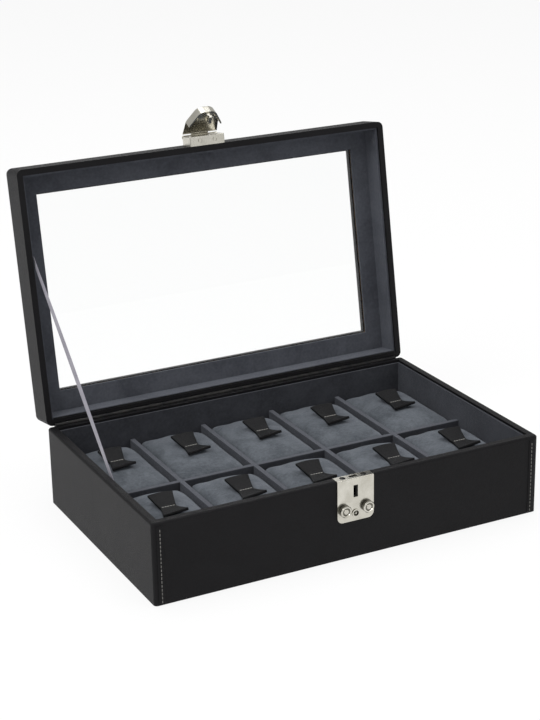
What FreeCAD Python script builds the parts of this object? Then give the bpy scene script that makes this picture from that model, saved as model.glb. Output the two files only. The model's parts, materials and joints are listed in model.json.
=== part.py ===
import FreeCAD, Part
import os
import re
import Sketcher
from FreeCAD import Placement, Rotation, Vector

# Ten-place watch box: a leather-covered base with lined cells and cushions, a glazed lid on
# a piano hinge, and a nickel lock that takes the lid's hasp. Millimetres. The origin is the
# middle of the underside, +X to the right, +Y to the back, +Z up. The lid stands open
# at lid_angle and the hasp hangs open at hasp_angle.
sizes = {
    # overall
    "box_length": 350.0, "box_width": 218.5, "base_height": 69.6, "lid_height": 31.0,
    "rim_gap": 0.3, "lid_angle": 99.6, "hasp_angle": 55.0,
    # walls, from outside to inside
    "leather": 1.2, "rim_leather": 2.4, "board": 5.5, "lid_board": 4.0, "lining": 1.5, "lining_drop": 2.2,
    "base_corner": 3.0, "base_edge": 2.0, "lid_corner": 5.2, "lid_edge": 5.0,
    # floor
    "felt": 1.5, "felt_proud": 0.5, "floor_board": 4.0, "floor_lining": 1.0,
    # dividers and cushions
    "columns": 5.0, "divider": 4.0, "divider_height": 40.0, "half_lap_play": 0.1,
    "cushion_play": 0.6, "cushion_height": 43.5, "cushion_corner": 11.0, "cushion_crown": 4.5,
    "cushion_foot": 4.0,
    "tab_waist": 12.6, "tab_end": 20.0, "tab_front": 16.0, "tab_back": 18.0,
    "tab_rise": 6.0, "tab_thick": 1.6,
    # lid stack, heights above the lid's rim
    "frame_depth": 22.0, "frame_thick": 2.5, "glass": 2.0, "glass_lap": 10.0, "glass_play": 0.5, "top_board": 3.3,
    "window_end": 22.5, "window_side": 23.75, "window_step": 1.0,
    # rear hinge
    "hinge_length": 336.6, "knuckles": 17.0, "knuckle_gap": 0.2, "barrel": 2.0, "cove": 2.3,
    "pin": 0.9, "pin_bore": 0.95, "leaf": 0.8, "leaf_reach": 6.2,
    # lock, drops below the base's rim
    "plate_width": 33.0, "plate_drop": 36.6, "plate": 1.2, "plate_corner": 5.0, "flange": 7.0,
    "flange_window": 3.5, "flange_inset": 2.0,
    "slot_width": 4.0, "slot_foot": 16.2, "slot_top": 5.9,
    "case_half": 15.0, "case_foot": 35.8, "case_top": 3.4, "case_depth": 6.5, "case_wall": 0.6,
    "knob_out": 10.3, "knob_drop": 25.9, "knob": 5.0, "knob_proud": 3.5, "knob_lift": 0.3,
    "knob_groove": 0.7,
    "knob_travel": 2.8, "stem": 1.95, "stem_play": 0.1,
    "slide": 1.8, "slide_front": 0.3, "slide_gap": 0.3, "slide_outer": 13.0,
    "slide_foot": 31.6, "slide_step": 17.1, "slide_top": 4.6,
    "slide_tip": 4.5, "catch": 0.9, "catch_back": 5.0, "catch_foot": 15.1, "catch_top": 5.4,
    "key_drop": 30.1, "key": 3.4, "key_bore": 3.45, "key_proud": 0.8, "key_neck": 0.8,
    "key_well": 2.4, "key_post": 0.7, "cam_half": 4.7, "cam": 2.4,
    "screw_out": 9.5, "screw_seat": 2.5, "screw_head": 1.7, "screw_shank": 0.8, "screw_deep": 1.8,
    # hasp, heights above the lid's rim and distances out from the lid's front
    "bracket_width": 33.0, "bracket_height": 16.0, "bracket_out": 8.4, "bracket_edge": 0.8,
    "rivet_out": 7.0, "rivet": 1.0, "rivet_head": 0.25, "rivet_deep": 3.0,
    "rivet_cap": 1.5, "rivet_seat": 2.0, "rivet_sink": 0.5,
    "hasp_pin_out": 7.4, "hasp_pin_level": 15.0, "hasp_rod": 0.8, "hasp_bore": 0.85,
    "hasp_barrel": 1.8, "hasp_cove": 2.1, "hasp_knuckle": 8.0,
    "hasp_skin": 1.2, "hasp_wall": 1.2, "hasp_low": 15.0, "hasp_round": 8.0, "hasp_play": 0.3,
    "hasp_hip": 15.6, "hasp_hip_drop": 16.0, "hasp_toe": 7.0,
    "staple_half": 5.0, "staple_pad": 1.5, "blade": 3.0, "blade_foot": 13.6, "blade_top": 6.9,
    "blade_deep": 5.0, "notch": 0.8,
    # lid stay
    "ribbon_width": 5.0, "ribbon_thick": 0.3, "stay_front": 17.0, "stay_drop": 7.1,
    "stay_reach": 144.0, "stay_level": 4.5, "stay_play": 0.08,
}

doc = FreeCAD.newDocument("WatchBox")
sheet = doc.addObject("Spreadsheet::Sheet", "Sizes")
for row, (alias, value) in enumerate(sizes.items(), start=1):
    sheet.set("A%d" % row, alias)
    sheet.set("B%d" % row, str(value))
    sheet.setAlias("B%d" % row, alias)
doc.recompute()

# derived lengths, written as expressions of the sheet's words
derived = {
    "inset": "(leather + board)",
    "inner_x": "(box_length / 2 - leather - board - lining)",
    "inner_y": "(box_width / 2 - leather - board - lining)",
    "floor_top": "(felt + floor_board + floor_lining)",
    "pitch": "((2 * (box_length / 2 - leather - board - lining) + divider) / columns)",
    "cell_x": "((2 * (box_length / 2 - leather - board - lining) + divider) / columns - divider)",
    "cell_y": "(box_width / 2 - leather - board - lining - divider / 2)",
    "front": "(-box_width / 2)",
    "rim": "(rim_gap / 2)",
    "window_length": "(box_length - 2 * window_end)",
    "window_width": "(box_width - 2 * window_side)",
    "knuckle": "(hinge_length / knuckles)",
    "lid_inset": "(leather + lid_board)",
    "glass_low": "(rim_gap / 2 + frame_depth + frame_thick)",
    "board_low": "(rim_gap / 2 + frame_depth + frame_thick + glass)",
    "layer_a": "(slide_front)",
    "layer_b": "(slide_front + slide + slide_gap)",
    "slide_inner": "(key + knob_travel + slide_gap)",
}
# levels above the underside, each a drop below the base's rim
for level, drop in (("plate_low", "plate_drop"), ("slot_low", "slot_foot"),
                    ("slot_high", "slot_top"), ("case_low", "case_foot"),
                    ("case_high", "case_top"), ("knob_level", "knob_drop"),
                    ("slide_low", "slide_foot"), ("slide_arm", "slide_step"),
                    ("slide_high", "slide_top"), ("catch_low", "catch_foot"),
                    ("catch_high", "catch_top"), ("key_level", "key_drop"),
                    ("blade_low", "blade_foot"), ("blade_high", "blade_top")):
    derived[level] = "(base_height - %s)" % drop


def words(text):
    """Expression text with the derived words and the sheet's aliases written out."""
    text = re.sub(r"[a-z_]+", lambda found: derived.get(found.group(), found.group()), str(text))
    return re.sub(r"[a-z_]+", lambda found: "Sizes." + found.group()
                  if found.group() in sizes else found.group(), text)


def bind(item, **values):
    for name, text in values.items():
        item.setExpression(name, words(text))
    return item


def place(item, x="0", y="0", z="0"):
    for axis, text in zip("xyz", (x, y, z)):
        item.setExpression(".Placement.Base." + axis, words(text))
    return item


def turn(item, angle):
    """Turn an object about X by an angle bound to the sheet."""
    item.Placement = Placement(Vector(0, 0, 0), Rotation(Vector(1, 0, 0), -90))
    item.setExpression(".Placement.Rotation.Angle", words("-(%s)" % angle))
    return item


# ---------------------------------------------------------------- Part primitives
def box(name, x, y, z):
    """Box between two expressions on each axis."""
    item = doc.addObject("Part::Box", name)
    bind(item, Length="(%s) - (%s)" % (x[1], x[0]), Width="(%s) - (%s)" % (y[1], y[0]),
         Height="(%s) - (%s)" % (z[1], z[0]))
    return place(item, x[0], y[0], z[0])


def centred(half):
    return ("-(%s)" % half, half)


def rod(name, radius, length, x, y, z, axis="x"):
    """Cylinder from a point, along +X, +Y or +Z."""
    item = doc.addObject("Part::Cylinder", name)
    bind(item, Radius=radius, Height=length)
    turns = {"x": Rotation(Vector(0, 1, 0), 90), "y": Rotation(Vector(1, 0, 0), -90),
             "z": Rotation()}
    item.Placement = Placement(Vector(0, 0, 0), turns[axis])
    return place(item, x, y, z)


def fused(name, items):
    item = doc.addObject("Part::MultiFuse", name)
    item.Shapes = items
    return item


def cut(name, base, tools):
    item = doc.addObject("Part::Cut", name)
    item.Base = base
    item.Tool = tools[0] if len(tools) == 1 else fused(name + "_tools", tools)
    return item


def common(name, base, tool):
    item = doc.addObject("Part::Common", name)
    item.Base = base
    item.Tool = tool
    return item


# ---------------------------------------------------------------- PartDesign bodies
def sketch(body, name, plane, offset="0"):
    """Sketch on one of the body's own origin planes, moved along the plane's normal."""
    item = body.newObject("Sketcher::SketchObject", name)
    planes = {part.Role: part for part in body.Origin.OriginFeatures}
    item.AttachmentSupport = [(planes[plane], "")]
    item.MapMode = "FlatFace"
    item.setExpression("AttachmentOffset.Base.z", words(offset))
    return item


def polygon(item, points):
    """Closed outline whose corners are bound to expressions of the sheet."""
    first = item.GeometryCount
    total = len(points)
    turned = [Rotation(Vector(0, 0, 1), 360.0 * n / total).multVec(Vector(10, 0, 0))
              for n in range(total)]
    for n in range(total):
        item.addGeometry(Part.LineSegment(turned[n], turned[(n + 1) % total]), False)
    for n in range(total):
        item.addConstraint(Sketcher.Constraint(
            "Coincident", first + n, 2, first + (n + 1) % total, 1))
    for n, point in enumerate(points):
        for kind, value, text in (("DistanceX", turned[n].x, point[0]),
                                  ("DistanceY", turned[n].y, point[1])):
            index = item.addConstraint(Sketcher.Constraint(kind, -1, 1, first + n, 1, value))
            label = "corner_%d_%s" % (first + n, kind[-1])
            item.renameConstraint(index, label)
            item.setExpression("Constraints." + label, words(text))
    return item


def oblong(item, x, y):
    return polygon(item, [(x[0], y[0]), (x[1], y[0]), (x[1], y[1]), (x[0], y[1])])


def circle(item, x, y, radius):
    first = item.addGeometry(Part.Circle(Vector(0, 0, 0), Vector(0, 0, 1), 1.0), False)
    for kind, text in (("DistanceX", x), ("DistanceY", y)):
        index = item.addConstraint(Sketcher.Constraint(kind, -1, 1, first, 3, 0.0))
        label = "centre_%d_%s" % (first, kind[-1])
        item.renameConstraint(index, label)
        item.setExpression("Constraints." + label, words(text))
    index = item.addConstraint(Sketcher.Constraint("Radius", first, 1.0))
    item.renameConstraint(index, "radius_%d" % first)
    item.setExpression("Constraints.radius_%d" % first, words(radius))
    return item


def newBody(name):
    return doc.addObject("PartDesign::Body", name)


def pad(body, name, profile, length, midplane=False, reverse=False):
    item = body.newObject("PartDesign::Pad", name)
    item.Profile = profile
    item.Midplane = midplane
    item.Reversed = reverse
    return bind(item, Length=length)


def pocket(body, name, profile, length, midplane=False, reverse=False):
    item = body.newObject("PartDesign::Pocket", name)
    item.Profile = profile
    item.Midplane = midplane
    item.Reversed = reverse
    return bind(item, Length=length)


def pattern(body, name, features, axis, length, count):
    """Repeat features along one of the body's axes and make that the body's tip."""
    item = body.newObject("PartDesign::LinearPattern", name)
    item.Originals = features
    axes = {part.Role: part for part in body.Origin.OriginFeatures}
    item.Direction = (axes[axis], [""])
    bind(item, Length=length, Occurrences=count)
    body.Tip = item
    return item


def edges(feature, test):
    """Names of the feature's edges whose middle point and direction pass the test."""
    doc.recompute()
    names = []
    for number, edge in enumerate(feature.Shape.Edges, start=1):
        middle = edge.valueAt((edge.FirstParameter + edge.LastParameter) / 2)
        heading = edge.tangentAt((edge.FirstParameter + edge.LastParameter) / 2)
        if test(middle, heading, edge.BoundBox):
            names.append("Edge%d" % number)
    return names


def rounded(body, name, feature, radius, test):
    item = body.newObject("PartDesign::Fillet", name)
    item.Base = (feature, edges(feature, test))
    return bind(item, Radius=radius)


def upright(middle, heading, bounds):
    return abs(heading.z) > 0.99


def slab(name, x, y, z):
    """Plain block drawn as a body, for a piece that is turned as a whole."""
    body = newBody(name)
    pad(body, name + "_pad", oblong(sketch(body, name + "_plan", "XY_Plane", z[0]), x, y),
        "(%s) - (%s)" % (z[1], z[0]))
    return body


def near(value, wanted):
    return abs(value - wanted) < 0.02


def softBlock(name, x, y, z, corner, edge, foot=None):
    """Upright block with rounded corners and rounded top edges."""
    body = newBody(name)
    block = pad(body, name + "_pad", oblong(sketch(body, name + "_plan", "XY_Plane", z[0]), x, y),
                "(%s) - (%s)" % (z[1], z[0]))
    sides = rounded(body, name + "_corners", block, corner, upright)
    doc.recompute()
    top = sides.Shape.BoundBox.ZMax
    low = sides.Shape.BoundBox.ZMin
    tip = rounded(body, name + "_top", sides, edge,
                  lambda middle, heading, bounds: near(bounds.ZMin, top))
    if foot:
        tip = rounded(body, name + "_foot", tip, foot,
                      lambda middle, heading, bounds: near(bounds.ZMax, low))
    return body


pieces = []


def keep(item, name=None):
    """Register a finished piece. Its label names its file."""
    if name:
        item.Label = name
    pieces.append(item)
    return item


def onLid(item, name=None):
    """A piece drawn about the hinge axis with the lid shut, turned open with the lid."""
    turn(item, "lid_angle")
    place(item, "0", "box_width / 2", "base_height + rim")
    return keep(item, name)


def onHasp(item, name=None):
    """A piece drawn about the hasp's pin with lid and hasp shut, turned with both."""
    turn(item, "lid_angle + hasp_angle")
    reach = "(box_width + hasp_pin_out)"
    level = "(rim + hasp_pin_level)"
    place(item, "0",
          "box_width / 2 - %s * cos(lid_angle) + %s * sin(lid_angle)" % (reach, level),
          "base_height + rim + %s * sin(lid_angle) + %s * cos(lid_angle)" % (reach, level))
    return keep(item, name)


# ---------------------------------------------------------------- base: walls and floor
halfX = "(box_length / 2)"
halfY = "(box_width / 2)"
baseOuter = softBlock("base_outer", centred(halfX), centred(halfY), ("felt_proud", "base_height"),
                      "base_corner", "base_edge")
baseCore = softBlock("base_core", centred(halfX + " - leather"), centred(halfY + " - leather"),
                     ("felt", "base_height - rim_leather"), "base_corner - leather",
                     "base_edge - leather")
baseHollow = box("base_hollow", centred(halfX + " - inset"), centred(halfY + " - inset"),
                 ("-1", "base_height + 1"))
hingeRecess = box("hinge_recess", centred("hinge_length / 2 + knuckle_gap"),
                  ("box_width / 2 - leaf_reach - knuckle_gap", "box_width / 2"),
                  ("base_height - leather - leaf", "base_height - leather"))
hingeCove = rod("hinge_cove", "cove", "hinge_length + 2 * knuckle_gap",
                "-hinge_length / 2 - knuckle_gap", "box_width / 2", "base_height + rim")
flangeRecess = box("flange_recess", centred("plate_width / 2"),
                   ("front - 1", "front + flange"), ("base_height - leather", "base_height + 1"))
casePocket = box("case_pocket", centred("case_half"), ("front - 1", "front + case_depth"),
                 ("case_low", "case_high"))
screwHoles = [rod("screw_hole_%d" % n, "screw_shank", "screw_deep + 1",
                  "%d * screw_out" % side, "front + flange / 2",
                  "base_height - leather - screw_deep", "z")
              for n, side in ((1, -1), (2, 1))]

keep(cut("base_leather", baseOuter, [baseCore, baseHollow, hingeRecess, hingeCove, flangeRecess,
                                     casePocket] + screwHoles))
alongX = centred(halfX)
frontSlab = box("front_slab", alongX, ("-" + halfY, "-" + halfY + " + inset"),
                ("0", "base_height"))
backSlab = box("back_slab", alongX, (halfY + " - inset", halfY), ("0", "base_height"))
between = centred(halfY + " - inset")
leftSlab = box("left_slab", ("-" + halfX, "-" + halfX + " + inset"), between,
               ("0", "base_height"))
rightSlab = box("right_slab", (halfX + " - inset", halfX), between, ("0", "base_height"))
keep(cut("base_front_board", common("front_wall", baseCore, frontSlab),
         [casePocket] + screwHoles))
keep(common("base_back_board", baseCore, backSlab))
keep(common("base_left_board", baseCore, leftSlab))
keep(common("base_right_board", baseCore, rightSlab))
keep(box("base_floor_board", centred(halfX + " - inset"), between,
         ("felt", "felt + floor_board")))
keep(box("base_felt", centred(halfX + " - inset"), between, ("0", "felt")))
keep(box("base_floor_lining", centred(halfX + " - inset"), between,
         ("felt + floor_board", "floor_top")))
keep(cut("base_lining",
         box("lining_outer", centred(halfX + " - inset"), between,
             ("floor_top", "base_height - lining_drop")),
         [box("lining_hollow", centred("inner_x"), centred("inner_y"), ("0", "base_height"))]))

# ---------------------------------------------------------------- dividers, half-lapped
longDivider = newBody("long_divider")
wall = pad(longDivider, "long_wall",
           oblong(sketch(longDivider, "long_side", "XZ_Plane"), centred("inner_x"),
                  ("floor_top", "floor_top + divider_height")), "divider", midplane=True)
lapX = ("-pitch * 3 / 2 - divider / 2 - half_lap_play",
        "-pitch * 3 / 2 + divider / 2 + half_lap_play")
lap = pocket(longDivider, "long_lap",
             oblong(sketch(longDivider, "long_lap_side", "XZ_Plane"), lapX,
                    ("floor_top + divider_height / 2 - half_lap_play",
                     "floor_top + divider_height + 1")), "divider * 2", midplane=True)
pattern(longDivider, "long_laps", [lap], "X_Axis", "pitch * (columns - 2)", "columns - 1")
keep(longDivider)

for number in range(4):
    cross = newBody("cross_divider_%d" % (number + 1))
    pad(cross, "cross_wall_%d" % number,
        oblong(sketch(cross, "cross_side_%d" % number, "YZ_Plane"), centred("inner_y"),
               ("floor_top", "floor_top + divider_height")), "divider", midplane=True)
    pocket(cross, "cross_lap_%d" % number,
           oblong(sketch(cross, "cross_lap_side_%d" % number, "YZ_Plane"),
                  centred("divider / 2 + half_lap_play"),
                  ("floor_top - 1", "floor_top + divider_height / 2")),
           "divider * 2", midplane=True)
    place(cross, "pitch * %s" % (number - 1.5))
    keep(cross)

# ---------------------------------------------------------------- cushions and pull tabs
for line, side in (("front", -1), ("back", 1)):
    for column in range(5):
        tag = "%s_%d" % (line, column + 1)
        x = "pitch * %d" % (column - 2)
        y = "%d * (divider / 2 + cell_y / 2)" % side
        cushion = softBlock("cushion_" + tag, centred("cell_x / 2 - cushion_play"),
                            centred("cell_y / 2 - cushion_play"), ("0", "cushion_height"),
                            "cushion_corner", "cushion_crown", "cushion_foot")
        keep(place(cushion, x, y, "floor_top"))

        tab = newBody("tab_" + tag)
        strip = pad(tab, "strip_" + tag,
                    polygon(sketch(tab, "strip_side_" + tag, "YZ_Plane"),
                            [("-tab_front", "0"), ("0", "0"), ("tab_back", "tab_rise"),
                             ("tab_back", "tab_rise + tab_thick"), ("0", "tab_thick"),
                             ("-tab_front", "tab_thick")]), "tab_end", midplane=True)
        plan = sketch(tab, "waist_plan_" + tag, "XY_Plane")
        for sign in ("", "-"):
            polygon(plan, [(sign + "tab_end * 0.6", "tab_back"),
                           (sign + "tab_end / 2", "tab_back"),
                           (sign + "tab_waist / 2", "0"),
                           (sign + "tab_end / 2", "-tab_front"),
                           (sign + "tab_end * 0.6", "-tab_front")])
        pocket(tab, "waist_" + tag, plan, "tab_rise * 4", midplane=True)
        keep(place(tab, x, y, "floor_top + cushion_height"))

# ---------------------------------------------------------------- piano hinge
def leafBody(name, side, first, count):
    """One hinge leaf about the pin. side is -1 for the leaf below the axis, 1 above."""
    body = newBody(name)
    low = "%d * (rim + leather + leaf)" % side
    high = "%d * (rim + leather)" % side
    pad(body, name + "_plate",
        oblong(sketch(body, name + "_plate_end", "YZ_Plane"), ("-leaf_reach", "-cove"),
               (low, high)), "hinge_length", midplane=True)
    start = "-hinge_length / 2 + knuckle_gap / 2 + %d * knuckle" % first
    knuckle = pad(body, name + "_knuckle",
                  circle(sketch(body, name + "_knuckle_end", "YZ_Plane", start), "0", "0",
                         "barrel"), "knuckle - knuckle_gap")
    tongue = pad(body, name + "_tongue",
                 oblong(sketch(body, name + "_tongue_end", "YZ_Plane", start),
                        ("-leaf_reach", "-pin_bore"), (low, high)), "knuckle - knuckle_gap")
    pattern(body, name + "_row", [knuckle, tongue], "X_Axis", "2 * knuckle * %d" % (count - 1),
            str(count))
    pocket(body, name + "_bore",
           circle(sketch(body, name + "_bore_end", "YZ_Plane"), "0", "0", "pin_bore"),
           "hinge_length + 2", midplane=True)
    return body


keep(place(leafBody("hinge_base_leaf", -1, 0, 9), "0", "box_width / 2", "base_height + rim"))
onLid(leafBody("hinge_lid_leaf", 1, 1, 8))
keep(rod("hinge_pin", "pin", "hinge_length", "-hinge_length / 2", "box_width / 2",
         "base_height + rim"))

# ---------------------------------------------------------------- lid
lidTop = "rim + lid_height"
lidOuter = softBlock("lid_outer", centred(halfX), ("-box_width", "0"), ("rim", lidTop),
                     "lid_corner", "lid_edge")
lidSolid = softBlock("lid_solid", centred(halfX + " - leather"),
                     ("-box_width + leather", "-leather"),
                     ("rim + rim_leather", lidTop + " - leather"),
                     "lid_corner - leather", "lid_edge - leather")
middle = "box_width / 2"
windowWell = box("window_well", centred("window_length / 2 - window_step + leather"),
                 ("-%s - (window_width / 2 - window_step + leather)" % middle,
                  "-%s + window_width / 2 - window_step + leather" % middle),
                 ("board_low", lidTop))
lidCore = cut("lid_core", lidSolid, [windowWell])
lidHollow = box("lid_hollow", centred(halfX + " - lid_inset"),
                ("-box_width + lid_inset", "-lid_inset"), ("-1", "board_low"))
windowHole = box("window_hole", centred("window_length / 2 - window_step"),
                 ("-%s - (window_width / 2 - window_step)" % middle,
                  "-%s + window_width / 2 - window_step" % middle), ("0", lidTop + " + 1"))
leafRecess = box("leaf_recess", centred("hinge_length / 2 + knuckle_gap"),
                 ("-leaf_reach - knuckle_gap", "0"),
                 ("rim + leather", "rim + leather + leaf"))
lidCove = rod("lid_cove", "cove", "hinge_length + 2 * knuckle_gap",
              "-hinge_length / 2 - knuckle_gap", "0", "0")
onLid(cut("lid_leather", lidOuter, [lidCore, lidHollow, windowHole, leafRecess, lidCove]))
railSlab = box("rail_slab", centred(halfX), ("-box_width", "0"), ("0", "board_low"))
onLid(cut("lid_rails", common("rail_ring", lidCore, railSlab), [lidHollow]))
boardSlab = box("board_slab", centred(halfX), ("-box_width", "0"), ("board_low", lidTop))
onLid(common("lid_top_board", lidCore, boardSlab))
glassX = "window_length / 2 + glass_lap"
glassY = "(window_width / 2 + glass_lap)"
glassBay = box("glass_bay", centred(glassX), ("-%s - %s" % (middle, glassY),
                                             "-%s + %s" % (middle, glassY)),
               ("glass_low", "board_low + 1"))
onLid(slab("lid_glass", centred(glassX + " - glass_play"),
           ("-%s - %s + glass_play" % (middle, glassY), "-%s + %s - glass_play" % (middle, glassY)),
           ("glass_low", "board_low")))
frameWindow = box("frame_window", centred("window_length / 2"),
                  ("-%s - window_width / 2" % middle, "-%s + window_width / 2" % middle),
                  ("0", lidTop))
frameBlank = box("frame_blank", centred(halfX + " - lid_inset"),
                 ("-box_width + lid_inset", "-lid_inset"), ("rim + frame_depth", "board_low"))
onLid(cut("lid_window_frame", frameBlank, [frameWindow, glassBay]))
liningBlank = box("lid_lining_blank", centred(halfX + " - lid_inset"),
                  ("-box_width + lid_inset", "-lid_inset"),
                  ("rim + lining_drop", "rim + frame_depth"))
liningHole = box("lid_lining_hole", centred(halfX + " - lid_inset - lining"),
                 ("-box_width + lid_inset + lining", "-lid_inset - lining"), ("0", lidTop))
onLid(cut("lid_lining", liningBlank, [liningHole]))

# ---------------------------------------------------------------- lock plate and case
# The XZ plane's normal is -Y, so an offset of box_width / 2 puts a sketch on the front wall.
wallFace = "box_width / 2"
plate = newBody("lock_plate")
face = pad(plate, "plate_face",
           oblong(sketch(plate, "plate_outline", "XZ_Plane", wallFace),
                  centred("plate_width / 2"), ("plate_low", "base_height")), "plate")
flange = pad(plate, "plate_flange",
             oblong(sketch(plate, "flange_plan", "XY_Plane", "base_height - leather"),
                    centred("plate_width / 2"), ("front - plate", "front + flange")), "leather")
plateLow = sizes["base_height"] - sizes["plate_drop"]
lower = rounded(plate, "plate_lower_corners", flange, "plate_corner",
                lambda middle, heading, bounds: abs(heading.y) > 0.99 and near(middle.z, plateLow))
bend = rounded(plate, "plate_bend", lower, "leather * 0.8",
               lambda middle, heading, bounds: abs(heading.x) > 0.99
               and near(middle.y, -sizes["box_width"] / 2 - sizes["plate"])
               and near(middle.z, sizes["base_height"]))
openings = sketch(plate, "plate_openings", "XZ_Plane", wallFace)
oblong(openings, centred("slot_width / 2"), ("slot_low", "slot_high"))
circle(openings, "0", "key_level", "key_bore")
for sign in ("-", ""):
    oblong(openings, (sign + "(knob_out + stem + stem_play)",
                      sign + "(knob_out - knob_travel - stem - stem_play)"),
           ("knob_level - stem - stem_play", "knob_level + stem + stem_play"))
pocket(plate, "plate_pocket", openings, "plate * 4", midplane=True)
heads = sketch(plate, "flange_holes", "XY_Plane", "base_height")
for sign in ("-", ""):
    circle(heads, sign + "screw_out", "front + flange / 2", "screw_seat")
oblong(heads, centred("flange_window"), ("front + flange_inset", "front + flange - flange_inset"))
pocket(plate, "flange_pocket", heads, "leather")
keep(plate)

for n, sign in ((1, "-"), (2, "")):
    x = sign + "screw_out"
    y = "front + flange / 2"
    rod("screw_cap_%d" % n, "screw_head", "leather * 0.9", x, y,
        "base_height - leather", "z")
    rod("screw_pin_%d" % n, "screw_shank", "screw_deep + leather / 2", x, y,
        "base_height - leather - screw_deep", "z")
keep(fused("lock_screws", [doc.getObject(name) for name in
                           ("screw_cap_1", "screw_pin_1", "screw_cap_2", "screw_pin_2")]))

keep(cut("lock_case",
         box("case_block", centred("case_half"), ("front", "front + case_depth"),
             ("case_low", "case_high")),
         [box("case_hollow", centred("case_half - case_wall"),
              ("front - 1", "front + case_depth - case_wall"),
              ("case_low + case_wall", "case_high - case_wall"))]))


# ---------------------------------------------------------------- knobs, slides and key barrel
def turned(name, x, level, profile):
    """Body turned about an axis along Y. Profile points are radius and depth behind the wall."""
    body = newBody(name)
    outline = sketch(body, name + "_half", "XY_Plane")
    polygon(outline, [(radius, depth) for radius, depth in profile])
    item = body.newObject("PartDesign::Revolution", name + "_turned")
    item.Profile = outline
    axes = {part.Role: part for part in body.Origin.OriginFeatures}
    item.ReferenceAxis = (axes["Y_Axis"], [""])
    item.Angle = 360
    return place(body, x, "front", level)


outside = "(-plate - knob_lift - knob_proud)"
for tag, sign, layer in (("left", "-", "layer_a"), ("right", "", "layer_b")):
    back = layer + " + slide"
    keep(turned(tag + "_knob", sign + "knob_out", "knob_level",
                [("0", outside + " + 0.3"), ("knob * 0.4", outside + " + 0.3"),
                 ("knob * 0.46", outside + " + knob_groove"),
                 ("knob * 0.62", outside + " + knob_groove"), ("knob * 0.7", outside),
                 ("knob * 0.88", outside), ("knob", outside + " + knob_groove"),
                 ("knob", "-plate - knob_lift"), ("stem", "-plate - knob_lift"),
                 ("stem", back), ("0", back)]))
    slide = newBody(tag + "_slide")
    flip = "" if sign == "-" else "-"
    depth = "box_width / 2 - (%s)" % layer
    pad(slide, tag + "_slide_pad",
        polygon(sketch(slide, tag + "_slide_side", "XZ_Plane", depth),
                [(flip + "(-slide_outer)", "slide_low"), (flip + "(-slide_inner)", "slide_low"),
                 (flip + "(-slide_inner)", "slide_arm"), (flip + "slide_tip", "slide_arm"),
                 (flip + "slide_tip", "slide_high"), (flip + "(-slide_outer)", "slide_high")]),
        "slide", reverse=True)
    holes = sketch(slide, tag + "_slide_holes", "XZ_Plane", depth)
    oblong(holes, (flip + "(-catch_back)", flip + "catch"), ("catch_low", "catch_high"))
    circle(holes, sign + "knob_out", "knob_level", "stem")
    pocket(slide, tag + "_slide_cut", holes, "slide * 3", midplane=True)
    keep(slide)

keyFace = "(-plate - key_proud)"
keep(turned("key_barrel", "0", "key_level",
            [("0", keyFace + " + 0.2"), ("key_post", keyFace + " + 0.2"),
             ("key_post", keyFace + " + 1.6"), ("key_well", keyFace + " + 1.6"),
             ("key_well", keyFace), ("key", keyFace), ("key", "knob_lift"),
             ("key_neck", "knob_lift"), ("key_neck", "blade_deep"), ("0", "blade_deep")]))
keep(cut("key_cam",
         box("cam_bar", centred("cam / 2"), ("front + 0.4", "front + layer_b + slide"),
             ("key_level - cam_half", "key_level + cam_half")),
         [rod("cam_bore", "key_neck", "case_depth", "0", "front", "key_level", "y")]))

# ---------------------------------------------------------------- hasp bracket on the lid
lidFace = "-box_width"
bracketSolid = newBody("bracket_solid")
block = pad(bracketSolid, "bracket_pad",
            oblong(sketch(bracketSolid, "bracket_plan", "XY_Plane", "rim"),
                   centred("bracket_width / 2"), (lidFace + " - bracket_out", lidFace)),
            "bracket_height")
frontOfBracket = -sizes["box_width"] - sizes["bracket_out"]
rounded(bracketSolid, "bracket_edges", block, "bracket_edge",
        lambda middle, heading, bounds: near(middle.y, frontOfBracket)
        or (abs(heading.y) > 0.99))
pinY = lidFace + " - hasp_pin_out"
pinZ = "rim + hasp_pin_level"
ears = [rod("ear_%d" % n, "hasp_barrel", "bracket_width / 2 - hasp_knuckle - hasp_play", start,
            pinY, pinZ)
        for n, start in ((1, "-bracket_width / 2"), (2, "hasp_knuckle + hasp_play"))]
rivetSeats = [rod("rivet_seat_%d" % n, "rivet_seat", "rivet_sink", sign + "rivet_out",
                  lidFace + " - bracket_out / 2", "rim", "z") for n, sign in ((1, "-"), (2, ""))]
earBlocks = fused("bracket_with_ears", [bracketSolid] + ears)
rivetHoles = [rod("rivet_hole_%d" % n, "rivet", "rivet_deep", sign + "rivet_out",
                  lidFace + " - bracket_out / 2", "rim", "z") for n, sign in ((1, "-"), (2, ""))]
onLid(cut("hasp_bracket", earBlocks,
          [rod("bracket_cove", "hasp_cove", "2 * (hasp_knuckle + hasp_play)",
               "-hasp_knuckle - hasp_play", pinY, pinZ),
           rod("bracket_bore", "hasp_bore", "bracket_width + 2", "-bracket_width / 2 - 1",
               pinY, pinZ)] + rivetHoles + rivetSeats))
rivetParts = []
for n, sign in ((1, "-"), (2, "")):
    spot = (sign + "rivet_out", lidFace + " - bracket_out / 2")
    rivetParts += [rod("rivet_%d" % n, "rivet", "rivet_deep", *spot, "rim", "z"),
                   rod("rivet_cap_%d" % n, "rivet_cap", "rivet_sink + rivet_head", *spot,
                       "rim - rivet_head", "z")]
onLid(fused("hasp_rivets", rivetParts))
haspPin = newBody("hasp_pin")
pad(haspPin, "hasp_pin_pad",
    circle(sketch(haspPin, "hasp_pin_end", "YZ_Plane"), pinY, pinZ, "hasp_rod"),
    "bracket_width - 1", midplane=True)
onLid(haspPin)

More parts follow.
